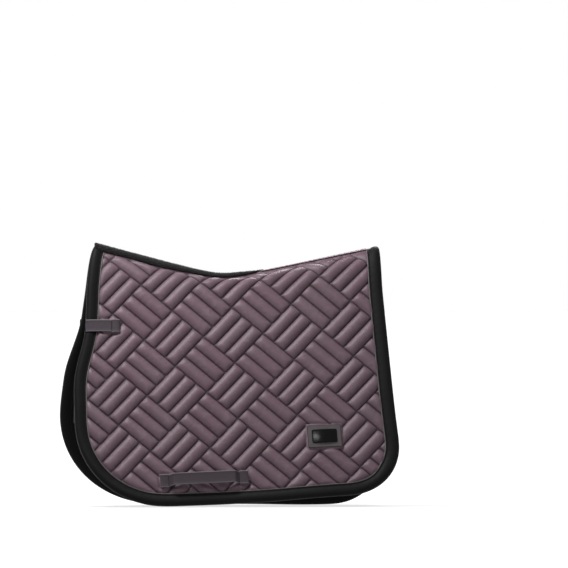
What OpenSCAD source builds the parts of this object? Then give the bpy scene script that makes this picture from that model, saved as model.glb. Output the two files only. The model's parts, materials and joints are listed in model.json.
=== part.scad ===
// Quilted jumping saddle pad, standing like a tent on its lower edges.
// X runs along the spine with the front at -X, the near side is -Y, Z is up.
// The origin is on the floor under the middle of the pad.
// Each half is three layers: a quilted shell outside, foam, and a lining inside.
// The crown carries both flaps, which hang from straight fold lines and swing about them.

/* [Spine] */
// Length of the spine seam, front edge to rear edge
spine_length = 571; // [556:1:586]
// Height of the lowest point of the spine above the floor
spine_height = 460; // [456:1:468]
// Rise of the spine from its dip to the front, in degrees
spine_front_rise = 15.2; // [14:0.1:16]
// Rise of the spine from its dip to the rear, in degrees
spine_rear_rise = 12.3; // [11.5:0.1:13]
// How far the rounding at the dip lifts it above where the two rises would meet
spine_rounding = 9; // [8:0.5:14]
// How far the dip is ahead of the pad's middle
spine_dip_ahead = 10; // [4:1:16]
// How far the spine's middle is behind the pad's middle
spine_behind = 17; // [12:1:22]

/* [Flaps] */
// Half the distance between the two fold lines
fold_half_width = 48; // [45:1:52]
// Lean of each flap from upright, in degrees
flap_lean = 20; // [17:1:23]
// How far the flap's front edge reaches ahead of the middle, at the fold line
front_top = 288; // [281:1:293]
// How far the front edge reaches ahead of the middle, below the shoulder bulge
front_reach = 319; // [309:1:327]
// How far the flap's rear edge reaches behind the middle, at the fold line
rear_top = 306; // [300:1:312]
// How far the rear edge reaches behind the middle, at the rear corner
rear_reach = 334; // [328:1:340]
// Drop from the fold line to the lower edge at the front corner
front_drop = 458; // [452:1:464]
// Drop from the fold line to the lower edge at the middle
mid_drop = 442; // [436:1:448]
// Drop from the fold line to the lower edge at the rear corner
rear_drop = 420; // [412:1:428]
// Radius of the lower front corner
front_corner_r = 172; // [150:1:180]
// Radius of the lower rear corner
rear_corner_r = 106; // [96:1:114]
// Turn of the off flap in its own plane, in degrees
off_turn = 2.8; // [2.4:0.1:3.2]

/* [Layers] */
// Thickness of the quilted shell
shell_t = 2; // [1.5:0.1:2.5]
// Thickness of the foam
foam_t = 10; // [8:0.5:11]
// Thickness of the lining
lining_t = 2; // [1.5:0.1:2.5]

/* [Edges] */
// Width of the edge binding on each face
binding_w = 23; // [18:1:26]
// Thickness of the binding cloth
binding_t = 1.5; // [1:0.1:1.6]
// Width of the piping beside the binding
piping_w = 1.8; // [1.2:0.1:2.4]
// Height of the piping above the shell
piping_h = 1.2; // [0.8:0.1:1.4]
// Width of the tape over and under the spine seam
spine_tape_w = 16; // [12:1:20]
// Greatest width of the plush over the withers
plush_w = 59; // [50:1:62]
// Length of the plush along the spine
plush_length = 340; // [300:5:350]
// Depth of the plush pile
plush_t = 4; // [3:0.5:5]

/* [Webbing] */
// Width of the webbing
webbing_w = 25; // [22:1:26]
// Thickness of the webbing
webbing_t = 1.8; // [1.4:0.1:2]
// Length of the front tab from its sewn end
tab_length = 41; // [36:1:44]
// Height of the front tab's middle below the fold line
tab_drop = 72; // [66:1:78]
// Length of the free part of the girth strap
girth_strap_l = 143; // [130:1:150]
// Room under the girth strap
girth_room = 11.5; // [11:0.5:13]
// Height of the girth strap's middle below the fold line
girth_drop = 396; // [390:1:402]
// How far the girth strap's middle is ahead of the pad's middle
girth_ahead = 64; // [58:1:71]
// Slope of the girth strap up to the rear, in degrees
girth_slope = 2.9; // [2:0.1:4]

/* [Badge] */
// Length of the badge's backing patch
patch_l = 69; // [64:1:74]
// Height of the backing patch
patch_h = 48; // [44:1:50]
// Length of the blank plate
plate_l = 50; // [46:1:54]
// Height of the blank plate
plate_h = 27; // [24:1:30]
// How far the badge is behind the middle
badge_behind = 179; // [172:1:186]
// Drop from the fold line to the badge's middle
badge_drop = 306; // [299:1:313]

/* [Hidden] */

// Colours, named for the pieces they belong to.
quilt_c = [0.42, 0.35, 0.38];
foam_c = [0.90, 0.87, 0.78];
lining_c = [0.20, 0.19, 0.21];
binding_c = [0.13, 0.13, 0.14];
piping_c = [0.55, 0.53, 0.55];
plush_c = [0.06, 0.06, 0.07];
webbing_c = [0.27, 0.23, 0.26];
patch_c = [0.43, 0.39, 0.41];
plate_c = [0.08, 0.08, 0.09];
label_c = [0.14, 0.14, 0.15];

pad_t = shell_t + foam_t + lining_t;
half_t = pad_t / 2;
// The crown stops this far up from the fold line, so a flap's edge turns clear of it.
fold_gap = half_t + binding_t + 0.6;
// The layers stop this far inside the binding's outer edge.
edge_room = binding_t + 0.3;
// Small clearances: between pieces sewn together, and between pieces that move apart.
sewn_gap = 0.1;
free_gap = 0.35;
// Flap outlines run past the fold line by this much before they are cut off there.
overrun = 60;
arc_steps = 10;
crown_steps = 44;
profile_steps = 10;
// How strongly the crown's section is pulled to its corner, from slack to tight.
crown_pull = 0.74;

// ---- outline geometry -----------------------------------------------------

function unit(v) = v / norm(v);
function left_of(v) = [-v[1], v[0]];
function cross_z(a, b) = a[0] * b[1] - a[1] * b[0];
function flat(p) = [p[0], p[1]];
function wrap(list, i) = list[(i + len(list)) % len(list)];

// The arc that rounds corner q, between its neighbours p and s.
function fillet(p, q, s, r) =
    let (a = unit(p - q), b = unit(s - q),
         half = acos(a * b) / 2,
         centre = q + unit(a + b) * r / sin(half),
         first = q + a * r / tan(half) - centre,
         start = atan2(first[1], first[0]),
         turn = sign(cross_z(q - p, s - q)) * (180 - 2 * half))
    [for (i = [0 : arc_steps])
        centre + r * [cos(start + turn * i / arc_steps), sin(start + turn * i / arc_steps)]];

// The outline of a list of corners [x, y, radius].
function rounded(corners) =
    [for (i = [0 : len(corners) - 1])
        each corners[i][2] == 0
            ? [flat(corners[i])]
            : fillet(flat(wrap(corners, i - 1)), flat(corners[i]),
                     flat(wrap(corners, i + 1)), corners[i][2])];

// The same corners moved inwards by d, with their radii kept concentric.
function inset(corners, d) =
    [for (i = [0 : len(corners) - 1])
        let (q = flat(corners[i]),
             before = unit(q - flat(wrap(corners, i - 1))),
             after = unit(flat(wrap(corners, i + 1)) - q),
             m = left_of(before), n = left_of(after),
             moved = q + d * (m + n) / (1 + m * n),
             r = corners[i][2])
        [moved[0], moved[1], r == 0 ? 0 : r - d * sign(cross_z(before, after))]];

function turned(corners, angle, about) =
    [for (c = corners)
        let (p = flat(c) - about)
        [about[0] + p[0] * cos(angle) - p[1] * sin(angle),
         about[1] + p[0] * sin(angle) + p[1] * cos(angle), c[2]]];

// x of the straight edge through corners a and b, at height y.
function edge_x(a, b, y) = a[0] + (b[0] - a[0]) * (y - a[1]) / (b[1] - a[1]);

function rectangle(l, h, r) =
    [[-l / 2, -h / 2, r], [l / 2, -h / 2, r], [l / 2, h / 2, r], [-l / 2, h / 2, r]];

// ---- flap outlines, with y = 0 on the fold line and y falling to the lower edge ----

bulge_top = [-front_top - 5, -85, 220];
bulge_low = [-front_reach, -178, 220];
front_corner = [-front_reach - 1, -front_drop, front_corner_r];
mid_corner = [61, -mid_drop, 1400];
rear_corner = [rear_reach, -rear_drop, rear_corner_r];
front_slope = (bulge_top[0] + front_top) / bulge_top[1];
rear_slope = (rear_reach - rear_top) / -rear_drop;
top_front = [-front_top + front_slope * overrun, overrun, 0];
top_rear = [rear_top + rear_slope * overrun, overrun, 0];

near_corners = [top_front, bulge_top, bulge_low, front_corner, mid_corner, rear_corner, top_rear];
// The off flap hangs turned forwards in its own plane, with its lower edge near level and
// its rear corner drawn down, so its outline is a little different.
off_bulge_low = bulge_low + [2, 0, 0];
off_front_corner = front_corner + [-10, -8, 21];
off_rear_corner = rear_corner + [10, -14, -9];
turn_centre = [26, -114];
level_corners = turned([top_front, bulge_top, off_bulge_low, off_front_corner, off_rear_corner,
                        top_rear], -off_turn, turn_centre);
function lowest(list) = min([for (p = rounded(list)) p[1]]);
off_corners = [for (c = level_corners)
    [c[0], c[1] + lowest(near_corners) - lowest(level_corners), c[2]]];
function corners(side) = side == "near" ? near_corners : off_corners;

// Height of the fold lines, which lets both flaps stand on the floor.
fold_height = (half_t + binding_t) * sin(flap_lean) - lowest(near_corners) * cos(flap_lean);

// Puts a piece drawn on the fold line's axes, z outwards, onto its side of the pad.
module hang(side) {
    mirror([0, side == "near" ? 0 : 1, 0])
        translate([0, -fold_half_width, fold_height])
            rotate([90 - flap_lean, 0, 0])
                children();
}

// A flat slab of the flap's outline, moved in from the edge, between two depths.
module slab(side, moved_in, from, to) {
    translate([0, 0, from])
        linear_extrude(to - from)
            polygon(rounded(inset(corners(side), moved_in)));
}

module below_fold() {
    intersection() {
        children();
        translate([-500, -600, -50]) cube([1000, 600, 100]);
    }
}

module plate(l, h, r, from, to) {
    translate([0, 0, from]) linear_extrude(to - from) polygon(rounded(rectangle(l, h, r)));
}

// ---- flap pieces ----------------------------------------------------------

module flap_shell(side) {
    color(quilt_c) hang(side) below_fold() slab(side, edge_room, half_t - shell_t, half_t);
}

module flap_lining(side) {
    color(lining_c) hang(side) below_fold() slab(side, edge_room, -half_t, lining_t - half_t);
}

// The foam's top edge is half round about the fold line.
module flap_foam(side) {
    list = corners(side);
    x_front = edge_x(list[0], list[1], 0) + edge_room;
    x_rear = edge_x(list[len(list) - 1], list[len(list) - 2], 0) - edge_room;
    color(foam_c) hang(side)
        union() {
            below_fold() slab(side, edge_room, lining_t - half_t, half_t - shell_t);
            translate([x_front, 0, (lining_t - shell_t) / 2])
                rotate([0, 90, 0]) cylinder(r = foam_t / 2, h = x_rear - x_front, $fn = 48);
        }
}

module flap_binding(side) {
    color(binding_c) hang(side) below_fold()
        difference() {
            slab(side, 0, -half_t - binding_t, half_t + binding_t);
            slab(side, edge_room, -half_t, half_t);
            slab(side, binding_w, -half_t - 5, half_t + 5);
        }
}

module flap_piping(side) {
    color(piping_c) hang(side) below_fold()
        difference() {
            slab(side, binding_w + sewn_gap, half_t, half_t + piping_h);
            slab(side, binding_w + sewn_gap + piping_w, half_t - 5, half_t + 5);
        }
}

// ---- front tab: webbing sewn down at the front edge, closed by hooks ------

// The tab turns about this line, on the binding's face a little in from the edge.
tab_z = half_t + binding_t + free_gap + webbing_t / 2;
tab_turn_room = 1.7;
tab_anchor_l = 9;
function tab_x(side) =
    edge_x(corners(side)[0], corners(side)[1], -tab_drop) + tab_anchor_l + tab_turn_room;
hook_l = 18;
hook_t = 0.8;
hook_w = webbing_w - 4;
patch_past_tab = 18;

module at_tab(side) {
    hang(side) translate([tab_x(side), -tab_drop, 0]) children();
}

module tab_anchor(side) {
    color(webbing_c) at_tab(side)
        translate([-tab_turn_room - tab_anchor_l, -webbing_w / 2, half_t + binding_t])
            cube([tab_anchor_l, webbing_w, 1]);
}

module tab_webbing(side) {
    color(webbing_c) at_tab(side)
        translate([0, 0, tab_z])
            union() {
                translate([0, -webbing_w / 2, -webbing_t / 2])
                    cube([tab_length, webbing_w, webbing_t]);
                rotate([90, 0, 0])
                    cylinder(r = webbing_t / 2, h = webbing_w, center = true, $fn = 24);
            }
}

module tab_hooks(side) {
    color(plush_c) at_tab(side)
        translate([tab_length - hook_l - 1, -hook_w / 2, tab_z - webbing_t / 2 - hook_t])
            cube([hook_l, hook_w, hook_t]);
}

module tab_patch(side) {
    l = hook_l + patch_past_tab;
    color(plush_c) at_tab(side)
        translate([tab_length - hook_l - 1 + l / 2, 0, 0])
            plate(l, webbing_w + 3, 2, half_t, half_t + hook_t);
}

// ---- girth strap: webbing sewn down at both ends, with room under it ------

foot_l = 16;
foot_rise = 12;

module at_girth(side) {
    hang(side)
        translate([-girth_ahead, -girth_drop, half_t])
            rotate([0, 0, girth_slope])
                children();
}

// Side view of the strap: flat feet, a rise at each end and a straight run between.
function girth_line(up) =
    let (run = girth_strap_l / 2, top = up + girth_room, foot = run + foot_l)
    [[-foot, up], [-run, up], [-run + foot_rise, top], [run - foot_rise, top],
     [run, up], [foot, up]];

module girth_strap(side) {
    lower = girth_line(0);
    upper = girth_line(webbing_t);
    color(webbing_c) at_girth(side)
        rotate([90, 0, 0])
            linear_extrude(webbing_w, center = true)
                polygon(concat(lower, [for (i = [len(upper) - 1 : -1 : 0]) upper[i]]));
}

module girth_patch(side, end) {
    color(webbing_c) at_girth(side)
        translate([end * (girth_strap_l + foot_l) / 2, 0, 0])
            plate(foot_l, webbing_w + 3, 2, webbing_t, 2 * webbing_t);
}

// ---- badge: a blank plate on a bevelled patch -----------------------------

patch_t = 1.6;
plate_t = 1.2;
badge_slope = 2.5;

module at_badge() {
    hang("near")
        translate([badge_behind, -badge_drop, half_t])
            rotate([0, 0, badge_slope])
                children();
}

module badge_patch() {
    color(patch_c) at_badge() plate(patch_l, patch_h, 3, 0, patch_t);
}

module badge_plate() {
    color(plate_c) at_badge() plate(plate_l, plate_h, 1.5, patch_t, patch_t + plate_t);
}

module care_label() {
    color(label_c) hang("off")
        translate([-front_reach + binding_w + 7, -258, -half_t - 0.5])
            plate(22, 34, 1, 0, 0.5);
}

// ---- crown ----------------------------------------------------------------

// Height of the spine at x, on two straight rises with a rounded dip between them.
function spine_z(x) =
    let (run = x + spine_dip_ahead,
         rise = run * tan(run < 0 ? spine_front_rise : spine_rear_rise))
    spine_height + norm([rise, spine_rounding]) - spine_rounding;

// A point of the crown's section at x: t runs from the fold line up to the spine,
// and d is the depth below the outer face.
function crown_yz(x, t, d) =
    let (out = half_t - d,
         foot = [-fold_half_width + fold_gap * sin(flap_lean) - out * cos(flap_lean),
                 fold_height + fold_gap * cos(flap_lean) + out * sin(flap_lean)],
         top = spine_z(x) - d,
         corner = [foot[0] + (top - foot[1]) * tan(flap_lean), top],
         ridge = [0, top],
         b = foot + crown_pull * (corner - foot),
         c = ridge + crown_pull * (corner - ridge),
         s = 1 - t)
    s * s * s * foot + 3 * s * s * t * b + 3 * s * t * t * c + t * t * t * ridge;

function crown_point(side, x, t, d) =
    let (p = crown_yz(x, t, d))
    [x, side == "near" ? p[0] : -p[0], p[1]];

spine_front = spine_behind - spine_length / 2;
spine_rear = spine_behind + spine_length / 2;

// The crown's front and rear edges, from the flap's edge up to the spine's end.
function crown_front(side, t) =
    edge_x(corners(side)[0], corners(side)[1], fold_gap) * (1 - t) + t * spine_front;
function crown_rear(side, t) =
    let (list = corners(side), n = len(list))
    edge_x(list[n - 1], list[n - 2], fold_gap) * (1 - t) + t * spine_rear;
function crown_edge(side, end, t) = end < 0 ? crown_front(side, t) : crown_rear(side, t);

// A closed solid through equal rings of points. A ring goes up one face of a strip and
// back down the other, so a ladder of four-sided faces closes each end. The two faces are
// cut into triangles along the same diagonals, so layers that touch match exactly.
module through(rings) {
    n = len(rings[0]);
    last = (len(rings) - 1) * n;
    polyhedron(
        points = [for (ring = rings) each ring],
        faces = concat(
            [for (i = [0 : n / 2 - 2]) [n - 1 - i, n - 2 - i, i + 1, i]],
            [for (k = [0 : len(rings) - 2], i = [0 : n - 1])
                let (a = k * n + i, b = k * n + (i + 1) % n, c = b + n, d = a + n)
                each i < n / 2 ? [[a, b, c], [a, c, d]] : [[a, b, d], [b, c, d]]],
            [for (i = [0 : n / 2 - 2]) [last + i, last + i + 1, last + n - 2 - i, last + n - 1 - i]]),
        convexity = 6);
}

// Rings taken on the off side run the other way round, which keeps the faces outwards.
function facing(side, rings) =
    side == "near" ? rings : [for (i = [len(rings) - 1 : -1 : 0]) rings[i]];

// One layer of the crown between two depths, as rings from the front to the rear.
module crown_layer(side, from, to) {
    rings = [for (k = [0 : crown_steps])
        concat(
            [for (i = [0 : profile_steps])
                let (t = i / profile_steps)
                crown_point(side, crown_layer_x(side, t, k / crown_steps), t, from)],
            [for (i = [profile_steps : -1 : 0])
                let (t = i / profile_steps)
                crown_point(side, crown_layer_x(side, t, k / crown_steps), t, to)])];
    through(facing(side, rings));
}

function crown_layer_x(side, t, share) =
    (crown_front(side, t) + edge_room) * (1 - share) + (crown_rear(side, t) - edge_room) * share;

// A strip that follows the crown's front or rear edge, with section points [in from edge, depth].
module edge_strip(side, end, section) {
    rings = [for (i = [0 : profile_steps])
        let (t = i / profile_steps)
        [for (p = section)
            crown_point(side, crown_edge(side, end, t) - end * p[0], t, p[1])]];
    through(end < 0 ? facing(side, rings) : facing(side == "near" ? "off" : "near", rings));
}

module crown_shell(side) {
    color(quilt_c) crown_layer(side, 0, shell_t);
}

module crown_foam(side) {
    color(foam_c) crown_layer(side, shell_t, shell_t + foam_t);
}

module crown_lining(side) {
    color(lining_c) crown_layer(side, shell_t + foam_t, pad_t);
}

// The binding stands off the crown's layers by this much, because its facets are longer.
crown_gap = 0.3;
binding_section = [
    [binding_w, -binding_t], [0, -binding_t], [0, pad_t + binding_t], [binding_w, pad_t + binding_t],
    [binding_w, pad_t + crown_gap], [edge_room - crown_gap, pad_t + crown_gap],
    [edge_room - crown_gap, -crown_gap], [binding_w, -crown_gap],
];
module crown_binding(side, end) {
    color(binding_c) edge_strip(side, end, binding_section);
}

piping_in = binding_w + sewn_gap;
piping_section = [
    [piping_in + piping_w, -piping_h], [piping_in, -piping_h],
    [piping_in, -crown_gap], [piping_in + piping_w, -crown_gap],
];
module crown_piping() {
    color(piping_c)
        for (side = ["near", "off"], end = [-1, 1]) edge_strip(side, end, piping_section);
}

// How far along the crown's section a band of the given width reaches down from the spine.
function band_t(x, width) =
    let (corner = fold_half_width - (spine_z(x) - fold_height) * tan(flap_lean) + half_t)
    max(0.45, 1 - width / 2 / (3 * crown_pull * corner));

// A band lying over the spine, between two depths, from x_a to x_b.
// Its widths are given at even places along it.
band_steps = 6;
band_stride = 16;
function width_at(widths, share) =
    let (place = share * (len(widths) - 1), k = min(floor(place), len(widths) - 2))
    widths[k] + (widths[k + 1] - widths[k]) * (place - k);
module spine_band(x_a, x_b, widths, from, to) {
    steps = round((x_b - x_a) / band_stride);
    rings = [for (k = [0 : steps])
        let (share = k / steps,
             x = x_a + (x_b - x_a) * share,
             low = band_t(x, width_at(widths, share)),
             ts = [for (i = [0 : band_steps]) low + (1 - low) * i / band_steps])
        concat(
            [for (t = ts) crown_point("near", x, t, from)],
            [for (i = [band_steps - 1 : -1 : 0]) crown_point("off", x, ts[i], from)],
            [for (i = [0 : band_steps]) crown_point("off", x, ts[i], to)],
            [for (i = [band_steps - 1 : -1 : 0]) crown_point("near", x, ts[i], to)])];
    through(rings);
}

tape_in = binding_w + piping_w + 1;
tape_t = 1;
tape_gap = 0.4;
plush_end = spine_front + plush_length;
module spine_tape() {
    color(quilt_c)
        spine_band(plush_end, spine_rear - tape_in, [spine_tape_w, spine_tape_w],
                   -tape_gap - tape_t, -tape_gap);
}

module spine_tape_inner() {
    color(lining_c)
        spine_band(spine_front + tape_in, spine_rear - tape_in, [spine_tape_w, spine_tape_w],
                   pad_t + tape_gap, pad_t + tape_gap + tape_t);
}

plush_lift = binding_t + tape_gap;
plush_widths = plush_w * [0.64, 0.75, 1, 0.97, 0.83, 0.15];
module withers_plush() {
    color(plush_c)
        spine_band(spine_front + 1, plush_end - 1, plush_widths,
                   -plush_lift - plush_t, -plush_lift);
}

// ---- every node -----------------------------------------------------------

crown_shell("near");  // near_shell_top
crown_foam("near");  // near_foam_top
crown_lining("near");  // near_lining_top
crown_shell("off");  // off_shell_top
crown_foam("off");  // off_foam_top
crown_lining("off");  // off_lining_top
crown_binding("near", -1);  // near_front_binding_top
crown_binding("near", 1);  // near_rear_binding_top
crown_binding("off", -1);  // off_front_binding_top
crown_binding("off", 1);  // off_rear_binding_top
crown_piping();
spine_tape();
spine_tape_inner();
withers_plush();
flap_shell("near");  // near_shell
flap_foam("near");  // near_foam
flap_lining("near");  // near_lining
flap_binding("near");  // near_binding
flap_piping("near");  // near_piping
tab_anchor("near");  // near_tab_anchor
tab_patch("near");  // near_tab_patch
tab_webbing("near");  // near_tab_webbing
tab_hooks("near");  // near_tab_hooks
girth_strap("near");  // near_girth_strap
girth_patch("near", -1);  // near_girth_front_patch
girth_patch("near", 1);  // near_girth_rear_patch
badge_patch();
badge_plate();
flap_shell("off");  // off_shell
flap_foam("off");  // off_foam
flap_lining("off");  // off_lining
flap_binding("off");  // off_binding
flap_piping("off");  // off_piping
tab_anchor("off");  // off_tab_anchor
tab_patch("off");  // off_tab_patch
tab_webbing("off");  // off_tab_webbing
tab_hooks("off");  // off_tab_hooks
girth_strap("off");  // off_girth_strap
girth_patch("off", -1);  // off_girth_front_patch
girth_patch("off", 1);  // off_girth_rear_patch
care_label();
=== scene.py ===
"""A quilted saddle pad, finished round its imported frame."""

import json
import math

import bmesh
import bpy
import numpy as np
from mathutils import Matrix, Vector
from mathutils.geometry import delaunay_2d_cdt


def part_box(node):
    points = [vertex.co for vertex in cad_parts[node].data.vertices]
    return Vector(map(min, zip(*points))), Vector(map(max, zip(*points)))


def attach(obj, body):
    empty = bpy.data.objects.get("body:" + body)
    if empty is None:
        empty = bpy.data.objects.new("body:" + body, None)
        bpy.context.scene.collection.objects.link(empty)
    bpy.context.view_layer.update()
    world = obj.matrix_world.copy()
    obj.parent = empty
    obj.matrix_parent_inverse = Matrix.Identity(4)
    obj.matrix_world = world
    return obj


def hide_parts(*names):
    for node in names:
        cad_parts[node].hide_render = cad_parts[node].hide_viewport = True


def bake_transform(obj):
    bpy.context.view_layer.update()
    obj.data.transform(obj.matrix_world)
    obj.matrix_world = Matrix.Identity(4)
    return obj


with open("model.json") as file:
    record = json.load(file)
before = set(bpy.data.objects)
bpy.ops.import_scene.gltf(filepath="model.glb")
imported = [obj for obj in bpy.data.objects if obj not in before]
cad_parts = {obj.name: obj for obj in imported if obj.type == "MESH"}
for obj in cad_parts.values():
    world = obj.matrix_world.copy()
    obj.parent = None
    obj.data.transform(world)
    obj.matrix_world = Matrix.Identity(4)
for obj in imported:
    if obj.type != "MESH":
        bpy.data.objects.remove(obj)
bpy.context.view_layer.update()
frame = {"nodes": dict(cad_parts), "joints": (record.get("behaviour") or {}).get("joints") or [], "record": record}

# ---- The two halves of the pad -----------------------------------------------------
# Each half is one piece of padded cloth, sewn to the other along the dipped spine.
# It is measured on the cloth: x along the spine, y up from the fold, w out of its middle.

joints = {joint["name"]: joint for joint in frame["joints"]}
mounts = {mount["name"]: mount for mount in frame["record"]["mounts"]}
CROWN_PULL = 0.74  # how far the crown's curve is pulled to its corner
EDGE_ROOM = 0.0018  # how far the layers stop short of the pad's edge, inside the binding
MM = 0.001
CLOSE = 0.1 * MM  # places closer than this are taken as the same


class Half:
    """One half of the pad, which turns places on its cloth into places in the room."""

    def __init__(self, side):
        self.side = side
        self.sign = 1 if side == "near" else -1
        self.fold = np.array(joints[side + "_fold"]["pos_m"])
        self.fold[1] = -abs(self.fold[1])
        inward = mounts[side + "_inner_face"]["axis"]
        self.sin, self.cos = -inward[2], abs(inward[1])
        self.edge = self.layer_edge()
        self.foot = self.measured(side + "_foam_top")[:, 1].min()
        self.half_thick = -self.measured(side + "_lining")[:, 2].min()
        self.read_crown()

    def measured(self, node):
        """A CAD node's corners, on the cloth's own axes."""
        mesh = frame["nodes"][node].data
        co = np.empty(len(mesh.vertices) * 3)
        mesh.vertices.foreach_get("co", co)
        co = co.reshape(-1, 3)
        y, z = co[:, 1] * self.sign - self.fold[1], co[:, 2] - self.fold[2]
        return np.column_stack((co[:, 0], y * self.sin + z * self.cos, z * self.sin - y * self.cos))

    def box(self, node):
        """Lowest and highest corner of a CAD node on the cloth's own axes."""
        co = self.measured(node)
        return co.min(0), co.max(0)

    def layer_edge(self):
        """The flap's outline from the fold's front end round to its rear end."""
        co = self.measured(self.side + "_shell")
        face = co[co[:, 2] > co[:, 2].max() - 0.5 * MM][:, :2]
        face = np.unique(np.round(face, 6), axis=0)
        middle = face.mean(0)
        turn = np.arctan2(face[:, 0] - middle[0], face[:, 1] - middle[1])
        line = face[np.argsort(-turn)]
        start = np.argmin(line[:, 0] + 10 * np.abs(line[:, 1]))
        return np.roll(line, -start, axis=0)

    def read_crown(self):
        """Reads the spine's height and the crown's ends, and measures the cloth over it."""
        top = self.measured(self.side + "_shell_top")
        y, z = self.unturned(top[:, 1], top[:, 2])
        spine_x, heights = top[np.abs(y) < CLOSE, 0], z[np.abs(y) < CLOSE]
        xs = np.unique(np.round(spine_x, 5))
        tops = np.array([heights[np.abs(spine_x - x) < CLOSE].max() for x in xs])
        self.spine_x, self.spine_z = xs, tops
        fold_ends = top[np.abs(top[:, 1] - self.foot) < CLOSE]
        self.front = (fold_ends[:, 0].min(), xs[0])
        self.rear = (fold_ends[:, 0].max(), xs[-1])
        self.grid_x = np.linspace(xs[0] - 0.04, xs[-1] + 0.04, 121)
        self.grid_s = np.linspace(0, 1, 81)
        t = np.linspace(0, 1, 241)
        self.rise, self.t_at = [], []
        for x in self.grid_x:
            line = self.section(np.full_like(t, x), t, np.full_like(t, self.half_thick))
            run = run_along(line.T)
            self.rise.append(run[-1])
            self.t_at.append(np.interp(self.grid_s * run[-1], run, t))
        self.rise, self.t_at = np.array(self.rise), np.array(self.t_at)

    def unturned(self, y, w):
        """Across and up in the room, on the near side, from y and w on the flap's plane."""
        return (self.fold[1] + y * self.sin - w * self.cos,
                self.fold[2] + y * self.cos + w * self.sin)

    def section(self, x, t, w):
        """Across and up in the room, t of the way up the crown's section at x."""
        foot = np.array(self.unturned(self.foot, w))
        top = np.interp(x, self.spine_x, self.spine_z) - (self.half_thick - w)
        corner = np.array([foot[0] + (top - foot[1]) * self.sin / self.cos, top])
        ridge = np.array([np.zeros_like(top), top])
        low = foot + CROWN_PULL * (corner - foot)
        high = ridge + CROWN_PULL * (corner - ridge)
        s = 1 - t
        return s**3 * foot + 3 * s * s * t * low + 3 * s * t * t * high + t**3 * ridge

    def seam_y(self, x):
        """How far up the cloth the spine seam is, at x."""
        return self.foot + np.interp(x, self.grid_x, self.rise)

    def place(self, x, y, w):
        """Points in the room for places on the cloth."""
        x, y, w = np.broadcast_arrays(*(np.asarray(v, float) for v in (x, y, w)))
        w = w + drape(x, y)
        across, up = self.unturned(y, w)
        share = np.clip((y - self.foot) / np.interp(x, self.grid_x, self.rise), 0, 1)
        col = np.clip((x - self.grid_x[0]) / (self.grid_x[1] - self.grid_x[0]), 0,
                      len(self.grid_x) - 1.001)
        row = share * (len(self.grid_s) - 1.001)
        c, r = col.astype(int), row.astype(int)
        cf, rf = col - c, row - r
        t = ((1 - cf) * ((1 - rf) * self.t_at[c, r] + rf * self.t_at[c, r + 1])
             + cf * ((1 - rf) * self.t_at[c + 1, r] + rf * self.t_at[c + 1, r + 1]))
        curved = self.section(x, t, w)
        on_crown = y > self.foot
        across = np.where(on_crown, curved[0], across)
        up = np.where(on_crown, curved[1], up)
        return np.column_stack((x.ravel(), (across * self.sign).ravel(), up.ravel()))

    def outline(self, inward=0.0, step=3 * MM):
        """The edge from the spine's front end, round the flap, to its rear end."""
        t = np.linspace(1, 0, 30)
        ends = []
        for fold_x, spine_x in (self.front, self.rear):
            x = fold_x + (spine_x - fold_x) * t
            y = self.foot + self.length_up(x, t)
            ends.append(np.column_stack((x, y)))
        line = np.vstack((ends[0], self.edge, ends[1][::-1]))
        line = evenly(line, 8 * MM)
        for _ in range(3):
            line[1:-1] = (line[:-2] + 2 * line[1:-1] + line[2:]) / 4
        line = evenly(line, step)
        way = np.gradient(line, axis=0)
        way /= np.hypot(way[:, 0], way[:, 1])[:, None]
        x, y, reach, amount = self.swell
        away = np.hypot(line[:, 0] - x, line[:, 1] - y) / reach
        depth = inward * wider(line[:, 0]) - EDGE_ROOM - amount * np.exp(-away**2)
        return line + depth[:, None] * np.column_stack((-way[:, 1], way[:, 0]))

    def length_up(self, x, t):
        """Length of cloth from the crown's foot to t of its section, at x."""
        out = []
        for xi, ti in zip(x, t):
            col = int(np.argmin(np.abs(self.grid_x - xi)))
            share = np.interp(ti, self.t_at[col], self.grid_s)
            out.append(share * np.interp(xi, self.grid_x, self.rise))
        return np.array(out)


def run_along(line):
    """How far along the line each of its points is."""
    return np.concatenate(([0], np.cumsum(np.linalg.norm(np.diff(line, axis=0), axis=1))))


def evenly(line, step):
    """The same line with its points a step apart."""
    run = run_along(line)
    at = np.linspace(0, run[-1], max(2, int(run[-1] / step)))
    return np.column_stack((np.interp(at, run, line[:, 0]), np.interp(at, run, line[:, 1])))


def drape(x, y):
    """The slow waves of cloth that hangs, out of the flap's plane."""
    down = np.clip(-y / 0.44, 0, 1)
    wave = 2.2 * np.sin(9.5 * x + 3.0 * y + 0.6) + 1.3 * np.sin(17 * x - 7 * y + 2.0)
    return MM * down * down * wave


def wider(x):
    """How much wider the edge's finish is at x: it grows a little round the rear."""
    return 1 + 0.15 * smoothly(0.285, 0.315, x)


def smoothly(edge_a, edge_b, value):
    """0 below edge_a, 1 above edge_b, and a smooth rise between."""
    t = np.clip((value - edge_a) / (edge_b - edge_a), 0, 1)
    return t * t * (3 - 2 * t)


near, off = Half("near"), Half("off")
# Where each half's cloth has stretched past its pattern: x, y, reach and amount.
near.swell = (0.31, -0.36, 0.08, 2.8 * MM)
off.swell = (0.17, -0.43, 0.10, 3.6 * MM)

# ---- Quilted shells ------------------------------------------------------------------
# Satin over foam, quilted in a basket weave: square blocks of three channels that turn
# by a right angle from block to block. The thread pulls narrow valleys between them.


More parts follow.
